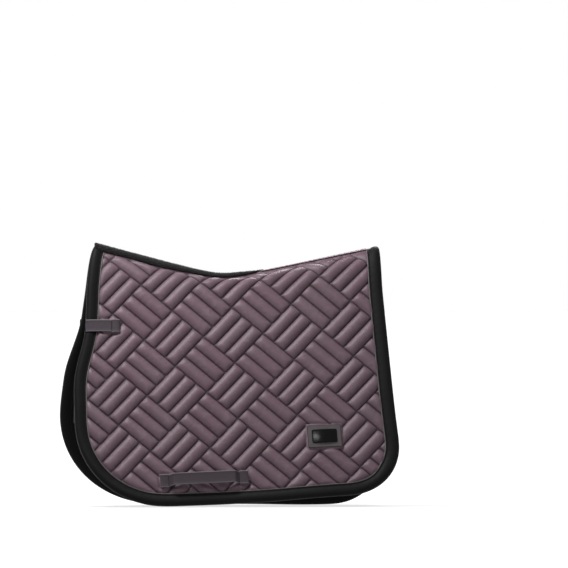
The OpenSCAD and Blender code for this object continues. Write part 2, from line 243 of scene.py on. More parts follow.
class Wire:
    """A socket of a finish, on which Python's arithmetic adds Math nodes."""

    def __init__(self, socket):
        self.socket = socket

    def maths(self, operation, *values):
        tree = self.socket.id_data
        node = tree.nodes.new("ShaderNodeMath")
        node.operation = operation
        for value, entry in zip(values, node.inputs):
            if isinstance(value, Wire):
                tree.links.new(value.socket, entry)
            else:
                entry.default_value = value
        return Wire(node.outputs[0])

    def __add__(self, other):
        return self.maths("ADD", self, other)

    def __sub__(self, other):
        return self.maths("SUBTRACT", self, other)

    def __rsub__(self, other):
        return self.maths("SUBTRACT", other, self)

    def __mul__(self, other):
        return self.maths("MULTIPLY", self, other)

    def __pow__(self, power):
        return self.maths("POWER", self, power)

    def __abs__(self):
        return self.maths("ABSOLUTE", self)

    __radd__, __rmul__ = __add__, __mul__


# Which output of a node is which.
ATTRIBUTE_VECTOR, ATTRIBUTE_VALUE = 1, 2
OBJECT_PLACE = 3
CAMERA_RAY, GLOSSY_RAY, TRANSMISSION_RAY = 0, 3, 6


class Finish:
    """A material, with one method that adds any node but a Math node."""

    def __init__(self, name, plain):
        self.material = bpy.data.materials.new(name)
        self.material.use_nodes = True
        self.tree = self.material.node_tree
        self.shader = self.tree.nodes["Principled BSDF"]
        self.join(self.shader, plain)

    def join(self, node, sockets):
        for name, value in sockets.items():
            if isinstance(value, Wire):
                self.tree.links.new(value.socket, node.inputs[name])
            else:
                node.inputs[name].default_value = value

    def add(self, kind, settings, sockets, output=0):
        """A new node's output: its settings first, then what its sockets get."""
        node = self.tree.nodes.new("ShaderNode" + kind)
        for name, value in settings.items():
            setattr(node, name, value)
        self.join(node, sockets)
        return Wire(node.outputs[output])

    def cloth(self):
        """Places on the piece's own cloth, in metres."""
        return self.add("Attribute", {"attribute_name": "cloth"}, {}, ATTRIBUTE_VECTOR)

    def mark(self, name):
        """The value that the piece's points carry under that name."""
        return self.add("Attribute", {"attribute_name": name}, {}, ATTRIBUTE_VALUE)

    def stretched(self, places, scale):
        return self.add("Mapping", {}, {"Vector": places, "Scale": scale})

    def noise(self, places, scale, detail=2.0, distortion=0.0):
        return self.add("TexNoise", {}, {"Vector": places, "Scale": scale, "Detail": detail,
                                         "Distortion": distortion})

    def step(self, value, low, high):
        """0 below low, 1 above high, smooth between."""
        return self.add("MapRange", {"interpolation_type": "SMOOTHSTEP"},
                        {"Value": value, "From Min": low, "From Max": high})

    def tint(self, share, first, second):
        """From the first colour to the second, by a share."""
        return self.add("Mix", {"data_type": "RGBA"}, {0: share, 6: first, 7: second}, 2)

    def raise_by(self, height, distance):
        """Bumps the surface by a height from 0 to 1 times a distance in metres."""
        bump = self.add("Bump", {}, {"Height": height, "Distance": distance, "Strength": 1.0})
        self.join(self.shader, {"Normal": bump})


def as_mesh(name, bm):
    """The bmesh as a mesh of Blender's own."""
    mesh = bpy.data.meshes.new(name)
    bm.to_mesh(mesh)
    bm.free()
    return mesh


def new_piece(name, bm, finish, body=None):
    """A finished mesh as a piece of the object, riding on a body."""
    mesh = as_mesh(name, bm)
    mesh.materials.append(finish.material)
    mesh.polygons.foreach_set("use_smooth", [True] * len(mesh.polygons))
    piece = bpy.data.objects.new(name, mesh)
    bpy.context.scene.collection.objects.link(piece)
    if body:
        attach(piece, body)
    return piece


def lay(bm, half):
    """Puts a mesh drawn on the cloth into the room, and keeps its places for the finish."""
    kept = bm.verts.layers.float_vector.get("cloth") or bm.verts.layers.float_vector.new("cloth")
    flat = np.array([v.co[:] for v in bm.verts])
    room = half.place(*flat.T)
    for vert, here, there in zip(bm.verts, flat, room):
        vert[kept] = here
        vert.co = there


def over_the_fold(piece, half):
    """Bakes the piece's place in the room into its mesh; its cloth already bends where its flap meets the crown,
    as it was laid.
    """
    reach = 20 * MM
    up = Vector((0, half.sin * half.sign, half.cos)) * reach
    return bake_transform(piece)


WEAVE_START = np.array((0.0630, -0.0867))  # a corner of the blocks, on the cloth
WEAVE_DOWN = np.array((0.06114, -0.0552))  # from block to block, down to the rear
WEAVE_UP = np.array((0.05824, 0.06219))  # from block to block, up to the rear
CHANNELS = 3
PUFF = 7.7 * MM  # rise of a full channel over its valleys
VALLEY_W = 0.4 * MM  # height of the valleys over the cloth's middle
PUCKER = 0.3 * MM  # rise of the small puckers along the stitching
UNDER_BINDING = 6 * MM  # how far in from the edge the layers are cut
SHELL_BACK = -5 * MM  # the shell's plain back, which meets the lining
SEAM_CLEAR = 0.2 * MM  # from the layers' upper edge to the spine seam


def block_places(x, y):
    """Places in the weave: whole numbers are the corners of the blocks."""
    away = np.column_stack((x, y)) - WEAVE_START
    grid = np.column_stack((WEAVE_DOWN, WEAVE_UP))
    return np.linalg.inv(grid) @ away.T


def channel_places(x, y):
    """The block's corner, and places across and along its channels, counted in blocks."""
    p, q = block_places(x, y)
    turned = (np.floor(p) + np.floor(q)).astype(int) % 2 == 1
    return np.floor(p), np.floor(q), np.where(turned, q, p), np.where(turned, p, q)


def puffs(x, y):
    """Height of the quilting from 0 in the valleys to 1 on the channels."""
    p, q, across, along = channel_places(x, y)
    along = along % 1.0
    lane = (across * CHANNELS) % 1.0
    number = p * 7.3 + q * 3.1 + np.floor(across * CHANNELS) * 1.7
    fullness = 0.94 + 0.06 * np.sin(number * 5.1)
    side = 1 - np.abs(2 * lane - 1) ** 2
    end = 1 - np.abs(2 * along - 1) ** 8
    return fullness * np.clip(side, 0, 1) ** 0.78 * np.clip(end, 0, 1) ** 0.6


def inside(line, points):
    """Which points lie inside the closed line."""
    x, y = points.T
    hit = np.zeros(len(points), bool)
    for (ax, ay), (bx, by) in zip(line, np.roll(line, -1, axis=0)):
        if ay == by:
            continue
        crossing = (ay > y) != (by > y)
        hit ^= crossing & (x < ax + (y - ay) * (bx - ax) / (by - ay))
    return hit


def nearest_on(line, points):
    """The nearest place on the line for each point, and how far it is."""
    best = np.full(len(points), np.inf)
    place = points.copy()
    for a, b in zip(line[:-1], line[1:]):
        way = b - a
        t = np.clip(((points - a) @ way) / (way @ way), 0, 1)
        spot = a + t[:, None] * way
        gap = np.hypot(*(points - spot).T)
        closer = gap < best
        best[closer], place[closer] = gap[closer], spot[closer]
    return place, best


def closed_edge(half, inward, below_seam):
    """The whole outline of a half, closed along the spine seam."""
    rim = half.outline(inward)
    xs = np.linspace(rim[-1, 0], rim[0, 0], 160)[1:-1]
    rim[0, 1] = half.seam_y(rim[0, 0]) - below_seam
    rim[-1, 1] = half.seam_y(rim[-1, 0]) - below_seam
    return np.vstack((rim, np.column_stack((xs, half.seam_y(xs) - below_seam))))


def weave_mesh(edge, spacing):
    """A flat mesh whose rows follow the weave, cut off at the edge."""
    bm = bmesh.new()
    blocks = 11
    rows = len(spacing) - 1
    bmesh.ops.create_grid(bm, x_segments=blocks * rows, y_segments=blocks * rows, size=0.5)
    lines = np.concatenate([i + np.array(spacing[:-1]) for i in range(blocks)] + [[blocks]])
    co = np.array([v.co for v in bm.verts])[:, :2] + 0.5
    index = np.rint(co * blocks * rows).astype(int)
    pq = lines[index] - blocks // 2
    flat = WEAVE_START + pq[:, :1] * WEAVE_DOWN + pq[:, 1:] * WEAVE_UP
    kept = inside(edge, flat)
    for vert, (x, y) in zip(bm.verts, flat):
        vert.co = (x, y, 0)
    bm.verts.ensure_lookup_table()
    bmesh.ops.delete(bm, geom=[v for v, keep in zip(bm.verts[:], kept) if not keep], context="VERTS")
    lone = [v for v in bm.verts if not v.link_faces]
    bmesh.ops.delete(bm, geom=lone, context="VERTS")
    rim = [v for v in bm.verts if v.is_boundary]
    flat = np.array([v.co[:2] for v in rim])
    snapped, _ = nearest_on(np.vstack((edge, edge[:1])), flat)
    for vert, (x, y) in zip(rim, snapped):
        vert.co = (x, y, 0)
    bmesh.ops.dissolve_degenerate(bm, dist=0.05 * MM, edges=[e for e in bm.edges if e.is_boundary])
    return bm


def backing(bm, edge, depth):
    """Closes the mesh behind with plain cloth at the given depth."""
    pitch = 25 * MM
    rim = [e for e in bm.edges if e.is_boundary]
    made = bmesh.ops.extrude_edge_only(bm, edges=rim)["geom"]
    low = [v for v in made if isinstance(v, bmesh.types.BMVert)]
    for vert in low:
        vert.co.z = depth
    number = {vert: i for i, vert in enumerate(low)}
    loop = [(number[e.verts[0]], number[e.verts[1]]) for e in made
            if isinstance(e, bmesh.types.BMEdge) and all(v in number for v in e.verts)]
    flat = np.array([v.co[:2] for v in low])
    low_x, low_y = flat.min(0)
    high_x, high_y = flat.max(0)
    ys = np.concatenate((np.arange(low_y, -0.03, pitch), np.arange(-0.03, 0.03, pitch / 3),
                         np.arange(0.03, high_y, pitch)))
    seeds = np.array([(x, y) for y in ys for x in np.arange(low_x, high_x, pitch)])
    _, gap = nearest_on(np.vstack((edge, edge[:1])), seeds)
    seeds = seeds[inside(edge, seeds) & (gap > pitch * 0.4)]
    every = [Vector(p) for p in np.vstack((flat, seeds))]
    verts, _, faces, origins, *_ = delaunay_2d_cdt(every, loop, [], 1, 1e-7)
    placed = []
    for co, origin in zip(verts, origins):
        known = [o for o in origin if o < len(low)]
        placed.append(low[known[0]] if known else bm.verts.new((co.x, co.y, depth)))
    for face in faces:
        corners = [placed[i] for i in face][::-1]
        if len(set(corners)) == 3 and bm.faces.get(corners) is None:
            bm.faces.new(corners)


CLUSTER = 12  # rows across each channel, closer together at its valleys
steps = np.arange(CLUSTER) / CLUSTER
steps = steps - 0.55 * np.sin(2 * math.pi * steps) / (2 * math.pi)
QUILT_ROWS = np.concatenate([(lane + steps) / CHANNELS for lane in range(CHANNELS)] + [[1.0]])
BINDING_IN = 23 * MM  # from the layers' edge to the binding's inner edge
FLAT_W = 6.8 * MM  # the quilting's face where another piece is sewn down on it
PLUSH_ENDS = np.array((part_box("withers_plush")[0][0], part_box("withers_plush")[1][0]))
# Places along the spine, and half the width of the plush at each.
PLUSH_AT = np.array((-270, -245, -193, -160, -136, -78, -36, 8, 36, 56, 71)) * MM
PLUSH_HALF = np.array((19, 20, 22, 27, 29.5, 28.5, 28, 24, 16, 8, 1.5)) * MM
TAPE_HALF = 8 * MM


def band_half(x):
    """Half the width of what covers the spine at x: the plush in front, the tape behind."""
    return np.maximum(np.interp(x, PLUSH_AT, PLUSH_HALF), np.where(x < 0.02, 0, TAPE_HALF))


def pressing(half, x, y):
    """Shares of the puffing that is left, and of the face that is held up under a piece."""
    _, gap = nearest_on(half.outline(), np.column_stack((x, y)))
    free = smoothly(BINDING_IN - 2 * MM, BINDING_IN + 8 * MM, gap / wider(x))
    seam_gap = half.seam_y(x) - y - band_half(x)
    held = 1 - smoothly(-2 * MM, 2 * MM, seam_gap)
    flattened = 7 * MM + 30 * MM * smoothly(-0.02, 0.05, x)  # the rear of the seam is drawn tight
    free = free * smoothly(-2 * MM, flattened, seam_gap)
    for node in half.pressed:
        lo, hi = half.box(node)
        middle, size = (lo + hi) / 2, (hi - lo) / 2
        dx = np.abs(x - middle[0]) - size[0]
        dy = np.abs(y - middle[1]) - size[1]
        outside = np.hypot(np.maximum(dx, 0), np.maximum(dy, 0))
        free = free * smoothly(0.4 * MM, 4.5 * MM, outside)
        held = np.maximum(held, 1 - smoothly(0, 1.2 * MM, outside))
    return free, held


near.pressed = ["badge_patch", "near_tab_patch", "near_girth_front_patch",
                "near_girth_rear_patch"]
off.pressed = ["off_tab_patch", "off_girth_front_patch", "off_girth_rear_patch"]


def pucker(x, y):
    """Small puckers across the stitching, as satin takes when thread draws it in."""
    _, _, across, along = channel_places(x, y)
    wander = 2.1 * np.sin(5.7 * across + 1.3 * np.floor(along)) + 1.7 * np.sin(3.1 * along)
    return np.sin(52 * along + 2.4 * wander) * (0.6 + 0.4 * np.sin(11 * along + 5 * across))


def quilted_shell(half):
    edge = closed_edge(half, UNDER_BINDING, SEAM_CLEAR)
    bm = weave_mesh(edge, QUILT_ROWS)
    flat = np.array([v.co for v in bm.verts])
    x, y = flat[:, 0], flat[:, 1]
    puff = puffs(x, y)
    free, held = pressing(half, x, y)
    flank = smoothly(0.0, 0.35, puff) * (1 - smoothly(0.6, 1.0, puff))
    w = VALLEY_W + PUFF * puff * (0.3 + 0.7 * free) + PUCKER * pucker(x, y) * flank * free
    w = w * (1 - held) + FLAT_W * held
    valley = bm.verts.layers.float.new("puff")
    for vert, height, open_share in zip(bm.verts, w, puff * (1 - held) + held):
        vert.co.z = height
        vert[valley] = open_share
    backing(bm, edge, SHELL_BACK)
    lay(bm, half)
    bmesh.ops.recalc_face_normals(bm, faces=bm.faces)
    name = half.side
    piece = new_piece(name + "_quilted_shell", bm, satin)
    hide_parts(name + "_shell", name + "_shell_top", name + "_foam", name + "_foam_top")
    over_the_fold(piece, half)


satin = Finish("mauve satin", {"Specular IOR Level": 0.22, "Sheen Weight": 0.03,
                               "Sheen Roughness": 0.35, "Sheen Tint": (0.95, 0.85, 0.9, 1)})
on_cloth = satin.cloth()
puff_share = satin.mark("puff")
threads = satin.noise(satin.stretched(on_cloth, (700, 4200, 1)), 1.0, 1.0)
cloudy = satin.noise(on_cloth, 9.0, 3.0, 0.6)
worn = satin.step(satin.noise(on_cloth, 55.0, 4.0, 1.2), 0.45, 0.75)
mauve = satin.tint(cloudy, (0.110, 0.060, 0.080, 1), (0.113, 0.078, 0.092, 1))
mauve = satin.tint(worn * 0.3, mauve, (0.180, 0.134, 0.152, 1))
# Painted shade: where the puff share is low, down in the valleys, the satin is darkened to near black.
mauve = satin.tint(satin.step(puff_share, 0.02, 0.5), (0.012, 0.005, 0.009, 1), mauve)
mauve = satin.tint(threads * 0.2, mauve, (0.10, 0.066, 0.085, 1))
satin.join(satin.shader, {"Base Color": mauve, "Roughness": 0.34 + cloudy * 0.12 + worn * 0.08})
satin.raise_by(threads + worn * 0.6, 0.00018)
for half in (near, off):
    quilted_shell(half)

# ---- Quilting thread -----------------------------------------------------------------
# One lockstitch seam in every valley, in thread matched to the satin. Each stitch is a
# short bar of thread that dips at both ends.

STITCH, STITCH_GAP, THREAD = 3.0 * MM, 1.0 * MM, 0.28 * MM
bar_bm = bmesh.new()
bmesh.ops.create_icosphere(bar_bm, subdivisions=1, radius=1.0)
bar = as_mesh("stitch", bar_bm)


def sew(name, half, seams, thread, length=STITCH):
    """Stitches along each seam, which is a line of places on the cloth."""
    bm = bmesh.new()
    for seam in seams:
        seam = np.asarray(seam, float)
        run = run_along(seam)
        middles = np.arange(length / 2, run[-1] - length / 4, length + STITCH_GAP)
        if not len(middles):
            continue
        at, ahead, raised = (
            half.place(*(np.interp(middles + step, run, seam[:, k]) + lift * (k == 2)
                         for k in range(3)))
            for step, lift in ((0, 0), (0.5 * MM, 0), (0, MM)))
        for here, forward, above in zip(at, ahead - at, raised - at):
            along = Vector(forward).normalized()
            side = Vector(above).cross(along).normalized()
            turn = Matrix((along * length / 2, side * THREAD, along.cross(side) * -THREAD))
            turn = Matrix.Translation(here) @ turn.transposed().to_4x4()
            bar.transform(turn)
            bm.from_mesh(bar)
            bar.transform(turn.inverted())
    return new_piece(name, bm, thread)


def cut_runs(line, kept):
    """The stretches of at least three of a line's points that are kept."""
    runs, run = [], []
    for point, keep in zip(line, kept):
        if keep:
            run.append(point)
        elif run:
            runs.append(run)
            run = []
    return [stretch for stretch in runs + [run] if len(stretch) > 2]


def valley_seams(half, w):
    """Every sewn line between channels, cut off at the binding and at sewn-on pieces."""
    seams = []
    for p in range(-5, 6):
        for q in range(-5, 6):
            for lane in range(CHANNELS + 1):
                t = np.linspace(0, 1, 29)
                even = (p + q) % 2 == 0
                ps = p + (np.full_like(t, lane / CHANNELS) if even else t)
                qs = q + (t if even else np.full_like(t, lane / CHANNELS))
                xy = WEAVE_START + ps[:, None] * WEAVE_DOWN + qs[:, None] * WEAVE_UP
                seams.append(np.column_stack((xy, np.full_like(t, w))))
    every = np.vstack(seams)
    kept = inside(closed_edge(half, BINDING_IN, 4 * MM), every[:, :2])
    _, held = pressing(half, every[:, 0], every[:, 1])
    kept = (kept & (held < 0.1)).reshape(len(seams), -1)
    return [run for line, keep in zip(seams, kept) for run in cut_runs(line, keep)]


def twisted(thread):
    """Gives a thread's finish the ridges of its twist."""
    twist = thread.noise(thread.add("TexCoord", {}, {}, OBJECT_PLACE), 900.0, 2.0)
    thread.raise_by(twist, 0.0002)
    return twist


mauve_thread = Finish("mauve thread", {"Roughness": 0.5, "Specular IOR Level": 0.25})
mauve_thread.join(mauve_thread.shader, {"Base Color": mauve_thread.tint(
    twisted(mauve_thread), (0.05, 0.03, 0.042, 1), (0.12, 0.08, 0.10, 1))})
for half in (near, off):
    piece = sew(half.side + "_quilting_thread", half, valley_seams(half, VALLEY_W + 0.3 * MM),
                mauve_thread)
    over_the_fold(piece, half)

# ---- Linings -------------------------------------------------------------------------
# Dark wicking mesh on the inside of each half. The same quilting holds it, so it puffs
# a little between the seams.

LINING_W, LINING_BACK, LINING_PUFF = -5.9 * MM, -5.2 * MM, 1.4 * MM
LINING_ROWS = np.concatenate([(lane + np.arange(5) / 5) / CHANNELS for lane in range(CHANNELS)]
                             + [[1.0]])


def quilted_lining(half):
    edge = closed_edge(half, UNDER_BINDING, SEAM_CLEAR)
    bm = weave_mesh(edge, LINING_ROWS)
    flat = np.array([v.co for v in bm.verts])
    puff = puffs(flat[:, 0], flat[:, 1])
    free, _ = pressing(half, flat[:, 0], flat[:, 1])
    for vert, height in zip(bm.verts, LINING_W - LINING_PUFF * puff * (0.2 + 0.8 * free)):
        vert.co.z = height
    backing(bm, edge, LINING_BACK)
    lay(bm, half)
    bmesh.ops.recalc_face_normals(bm, faces=bm.faces)
    piece = new_piece(half.side + "_lining_cloth", bm, lining)
    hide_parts(half.side + "_lining", half.side + "_lining_top")
    length, height = edge.max(0) - edge.min(0)
    over_the_fold(piece, half)


lining = Finish("lining mesh", {"Roughness": 0.85, "Specular IOR Level": 0.08})
on_cloth = lining.cloth()
holes = lining.add("TexVoronoi", {"feature": "F1"}, {"Vector": on_cloth, "Scale": 420.0,
                                                     "Randomness": 0.35})
hole = lining.step(holes, 0.30, 0.52)
dusty = lining.noise(on_cloth, 14.0, 4.0, 0.4)
knit = lining.tint(dusty, (0.009, 0.0085, 0.0095, 1), (0.018, 0.017, 0.019, 1))
lining.join(lining.shader, {"Base Color": lining.tint(hole, (0.004, 0.004, 0.0045, 1), knit)})
lining.raise_by(hole, 0.0005)
for half in (near, off):
    quilted_lining(half)

# ---- Edge bindings -------------------------------------------------------------------
# A wide band of black satin folded round the whole edge of each half, from one end of
# the spine to the other. One seam near its inner edge holds both faces.

# Section of the binding: how far in from the edge, and height over the cloth's middle.
BINDING_FACE = ((23.4, 3.4), (23.3, 4.3), (22.5, 4.9), (21.6, 4.8), (20.9, 4.45), (20.2, 4.8),
                (18.6, 5.7), (16, 6.9), (13, 7.8), (10, 8.3), (7, 8.2), (4.4, 7.5), (2.4, 6.2),
                (1.0, 4.4), (0.2, 2.2))
BINDING_BACK = ((0.2, -2.4), (1.0, -4.8), (2.4, -6.6), (4.4, -7.8), (7, -8.4), (10, -8.6),
                (13, -8.5), (16, -8.1), (18.6, -7.6), (20.2, -7.2), (20.9, -6.9), (21.6, -7.2),
                (22.5, -7.3), (23.3, -7.0), (23.4, -6.4))
BINDING_INSIDE = ((18, -6.0), (8, -7.0), (3, -4.5), (2, 0), (3, 4.5), (8, 7.0), (18, 4.5))


def tube(rings, texture):
    """A mesh through equal rings of points, closed at both ends. Texture places go along
    the rings and round them."""
    n, m = rings.shape[:2]
    bm = bmesh.new()
    bmesh.ops.create_grid(bm, x_segments=n - 1, y_segments=m, size=0.5)
    kept = bm.verts.layers.float_vector.new("cloth")
    for vert in bm.verts:
        i, j = round((vert.co.x + 0.5) * (n - 1)), round((vert.co.y + 0.5) * m)
        vert.co = rings[i, j % m]
        vert[kept] = texture[i, j % m]
    bmesh.ops.remove_doubles(bm, verts=bm.verts, dist=0.001 * MM)
    bmesh.ops.holes_fill(bm, edges=[e for e in bm.edges if e.is_boundary], sides=0)
    bmesh.ops.recalc_face_normals(bm, faces=bm.faces)
    return bm


def carried(half, line, inward, section, ripple=None):
    """A section carried round the edge of a half, on its cloth."""
    section = np.array(section) * MM
    run = run_along(line)
    u = np.broadcast_to(section[:, 0], (len(line), len(section)))
    w = np.broadcast_to(section[:, 1], u.shape)
    if ripple is not None:
        w = w + ripple(run[:, None], u) * np.sign(w)
    x = line[:, :1] + inward[:, :1] * u
    y = line[:, 1:] + inward[:, 1:] * u
    room = half.place(x.ravel(), y.ravel(), w.ravel()).reshape(*u.shape, 3)
    texture = np.stack((np.broadcast_to(run[:, None], u.shape), u, w), axis=2)
    return tube(room, texture)


def edge_line(half):
    """The outline, and the direction inward at each of its points."""
    line = half.outline(0, 2.5 * MM)
    return line, (half.outline(MM, 2.5 * MM) - line) / MM


def rolled(run, u):
    """The binding's own slow rolls and small drag lines."""
    depth = np.sin(np.clip(u / BINDING_IN, 0, 1) * math.pi)
    slow = 0.35 * np.sin(23 * run + 1.0) + 0.25 * np.sin(51 * run + 2.2)
    drag = 0.16 * np.sin(370 * run + 180 * u + 3 * np.sin(17 * run))
    return MM * depth * (slow + drag * smoothly(10 * MM, 19 * MM, u))


binding_satin = Finish("black binding satin", {"Specular IOR Level": 0.06})
on_cloth = binding_satin.cloth()
twill = binding_satin.noise(binding_satin.stretched(on_cloth, (4200, 900, 1)), 1.0, 1.0)
rubbed = binding_satin.noise(on_cloth, 38.0, 4.0, 0.8)
black = binding_satin.tint(rubbed, (0.002, 0.002, 0.0022, 1), (0.006, 0.006, 0.0064, 1))
binding_satin.join(binding_satin.shader, {
    "Base Color": binding_satin.tint(twill * 0.3, black, (0.010, 0.010, 0.0105, 1)),
    "Roughness": 0.40 + rubbed * 0.18})
binding_satin.raise_by(twill, 0.00016)
black_thread = Finish("black thread", {"Base Color": (0.008, 0.008, 0.009, 1),
                                       "Specular IOR Level": 0.08})
black_thread.join(black_thread.shader, {"Roughness": 0.35 + twisted(black_thread) * 0.3})
for half in (near, off):
    line, inward = edge_line(half)
    section = BINDING_FACE + BINDING_BACK + BINDING_INSIDE
    piece = new_piece(half.side + "_edge_binding", carried(half, line, inward, section, rolled),
                      binding_satin)
    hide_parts(half.side + "_binding", half.side + "_front_binding_top",
                half.side + "_rear_binding_top")
    over_the_fold(piece, half)
    sewn = [np.column_stack((line + 20.9 * MM * inward, np.full(len(line), w * MM)))
            for w in (4.75, -7.1)]
    piece = sew(half.side + "_binding_thread", half, sewn, black_thread)
    over_the_fold(piece, half)

# ---- Piping --------------------------------------------------------------------------
# A thin corded piping in grey satin, caught under the binding's inner edge all round.

PIPING_IN, PIPING_W, PIPING_R = 24.4, 4.7, 1.05  # millimetres in from the edge, up, radius
angles = np.linspace(0, 2 * math.pi, 10, endpoint=False)
piping_section = [(PIPING_IN + PIPING_R * math.cos(a), PIPING_W + PIPING_R * math.sin(a))
                  for a in angles]
piping_satin = Finish("grey piping satin", {"Roughness": 0.42, "Specular IOR Level": 0.3})
on_cloth = piping_satin.cloth()
twist = piping_satin.noise(piping_satin.stretched(on_cloth, (900, 2600, 2600)), 1.0, 2.0)
piping_satin.join(piping_satin.shader, {"Base Color": piping_satin.tint(
    twist, (0.065, 0.057, 0.061, 1), (0.125, 0.111, 0.118, 1))})
piping_satin.raise_by(twist, 0.0003)
for half in (near, off):
    line, inward = edge_line(half)
    piece = new_piece(half.side + "_edge_piping", carried(half, line, inward, piping_section),
                      piping_satin)
    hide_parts(half.side + "_piping", "crown_piping")
    over_the_fold(piece, half)

# ---- Plush over the withers, and tapes along the spine ---------------------------------
# Black plush pads the front of the spine. Behind it a satin tape covers the seam, and a
# dark tape covers it all along the inside.


def over_spine(x, s, w):
    """Places on the band over the spine: s across it, below 0 on the near side."""
    x, s, w = np.broadcast_arrays(x, s, w)
    y = near.seam_y(x.ravel()) - np.abs(s.ravel())
    on_near = near.place(x.ravel(), y, w.ravel())
    return np.where((s.ravel() <= 0)[:, None], on_near, on_near * (1, -1, 1)).reshape(*x.shape, 3)


def band(xs, half_widths, section):
    """A band along the spine. Its section is (share of the half width, height in mm)."""
    section = np.array(section, float)
    x = np.broadcast_to(xs[:, None], (len(xs), len(section)))
    s = half_widths[:, None] * section[:, 0]
    w = np.broadcast_to(section[:, 1] * MM, x.shape)
    return x, s, w


def over_band(x, s, w, lift=0.0):
    """A closed mesh through the band's places, lifted off them, which the finish keeps."""
    return tube(over_spine(x, s, w + lift), np.stack((x, s, w), axis=2))


def domed(count, low, high, base, power):
    """A section domed from low to high, with a flat base."""
    shares = np.linspace(-1, 1, count)
    top = [(a, low + (high - low) * (1 - abs(a) ** power)) for a in shares]
    return top + [(a, base) for a in shares[::-1]]


plush = Finish("black plush", {"Roughness": 0.95, "Sheen Weight": 0.04, "Sheen Roughness": 0.5,
                               "Specular IOR Level": 0.1})
on_cloth = plush.cloth()
tufts = plush.noise(on_cloth, 420.0, 3.0, 0.5)
tip = plush.mark("tip")
pile = plush.tint(tufts, (0.003, 0.003, 0.003, 1), (0.012, 0.011, 0.012, 1))
plush.join(plush.shader, {"Base Color": plush.tint(tip ** 3, pile, (0.17, 0.16, 0.17, 1))})
plush.raise_by(tufts, 0.0012)

# Heights of the plush over the cloth's middle in millimetres, and how square its dome is.
PLUSH_BASE, PLUSH_LOW, PLUSH_HIGH, PLUSH_POWER = 6.4, 7.6, 12.2, 5


def fullness(x):
    """How full the pile is at x: it thins out over its rear end."""
    return 0.35 + 0.65 * smoothly(71 * MM, 10 * MM, x)


rng = np.random.default_rng(41)
xs = np.linspace(*PLUSH_ENDS, 190)
x, s, w = band(xs, np.interp(xs, PLUSH_AT, PLUSH_HALF),
               domed(22, PLUSH_LOW, PLUSH_HIGH, PLUSH_BASE, PLUSH_POWER))
w = PLUSH_BASE * MM + (w - PLUSH_BASE * MM) * fullness(x)
clumps = 0.35 * MM * rng.standard_normal(x.shape) * (w > 7 * MM)
x = x + 0.25 * MM * rng.standard_normal(x.shape)
plush_bm = over_band(x, s, w, clumps)
plush_bm.verts.layers.float.new("tip")


def fibre_mesh(radius, length):
    """One fibre: a thin cone standing on the origin, with its tip marked."""
    bm = bmesh.new()
    bmesh.ops.create_cone(bm, segments=3, radius1=radius, radius2=radius * 0.2, depth=length,
                          cap_ends=True, matrix=Matrix.Translation((0, 0, length / 2)))
    layer = bm.verts.layers.float.new("tip")
    for vert in bm.verts:
        vert[layer] = 1.0 if vert.co.z > length / 2 else 0.0
    return as_mesh("fibre", bm)


def grow(bm, fibre, roots, outs, lean, rng):
    """Stands a copy of the fibre on each root, leaning at random from its direction."""
    for root, out in zip(roots, outs):
        way = Vector(out).normalized() + Vector(rng.normal(0, lean, 3))
        turn = way.to_track_quat("Z", "Y").to_matrix().to_4x4()
        turn = Matrix.Translation(root) @ turn @ Matrix.Scale(rng.uniform(0.5, 1.1), 4)
        fibre.transform(turn)
        bm.from_mesh(fibre)
        fibre.transform(turn.inverted())


FIBRES, ROOT_DEPTH = 9000, 0.4  # how many, and how deep each is rooted in millimetres
x = rng.uniform(PLUSH_ENDS[0] + MM, PLUSH_ENDS[1] - MM, FIBRES)
share = rng.uniform(-0.99, 0.99, FIBRES)
s = share * np.interp(x, PLUSH_AT, PLUSH_HALF)
dome = (PLUSH_HIGH - PLUSH_LOW) * (1 - np.abs(share) ** PLUSH_POWER)
w = (PLUSH_BASE + (PLUSH_LOW - PLUSH_BASE + dome - ROOT_DEPTH) * fullness(x)) * MM
roots, above = over_spine(x, s, w), over_spine(x, s * (1 + 0.02 * np.abs(share)), w + MM)
grow(plush_bm, fibre_mesh(0.22 * MM, 2.7 * MM), roots, above - roots, 0.45, rng)
piece = new_piece("withers_fleece", plush_bm, plush, "crown")
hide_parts("withers_plush")

TAPE_SECTION = [(-1, 7.0), (-0.93, 7.6), (-0.8, 7.85), (-0.7, 7.75), (-0.5, 8.2), (-0.2, 8.5),
                (0, 8.55), (0.2, 8.5), (0.5, 8.2), (0.7, 7.75), (0.8, 7.85), (0.93, 7.6),
                (1, 7.0), (0.8, 6.2), (0, 6.2), (-0.8, 6.2)]
tape_lo, tape_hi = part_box("spine_tape")
xs = np.arange(tape_lo[0] - 8 * MM, tape_hi[0] + 1 * MM, 2.5 * MM)
x, s, w = band(xs, np.full(len(xs), TAPE_HALF), TAPE_SECTION)
w = w + 0.18 * MM * np.sin(620 * x + 150 * s + 2 * np.sin(40 * x)) * (w > 7.2 * MM)
piece = new_piece("spine_tape_satin", over_band(x, s, w), satin, "crown")
piece.data.attributes.new("puff", "FLOAT", "POINT").data.foreach_set(
    "value", [1.0] * len(piece.data.vertices))
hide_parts("spine_tape")

tape_lo, tape_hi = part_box("spine_tape_inner")
xs = np.arange(tape_lo[0], tape_hi[0], 3 * MM)
x, s, w = band(xs, np.full(len(xs), TAPE_HALF), [(a, -h) for a, h in TAPE_SECTION])
piece = new_piece("spine_tape_lining", over_band(x, s, w, -0.2 * MM), binding_satin, "crown")
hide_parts("spine_tape_inner")

# ---- Webbing: front tabs -------------------------------------------------------------
# A tab of ribbon webbing is sewn to the front edge of each flap and closes with hooks on
# a short domed keeper. It bends where its stitching ends.

# Half of the webbing's upper face, in shares of half its width and half its thickness.
WEBBING_SIDE = [(-1, -0.5), (-1, 0.5), (-0.93, 0.95), (-0.84, 1.0), (-0.76, 0.72), (-0.4, 0.62)]
WEBBING_UNDER = [(0.85, -0.95), (0.3, -0.8), (-0.3, -0.8), (-0.85, -0.95)]


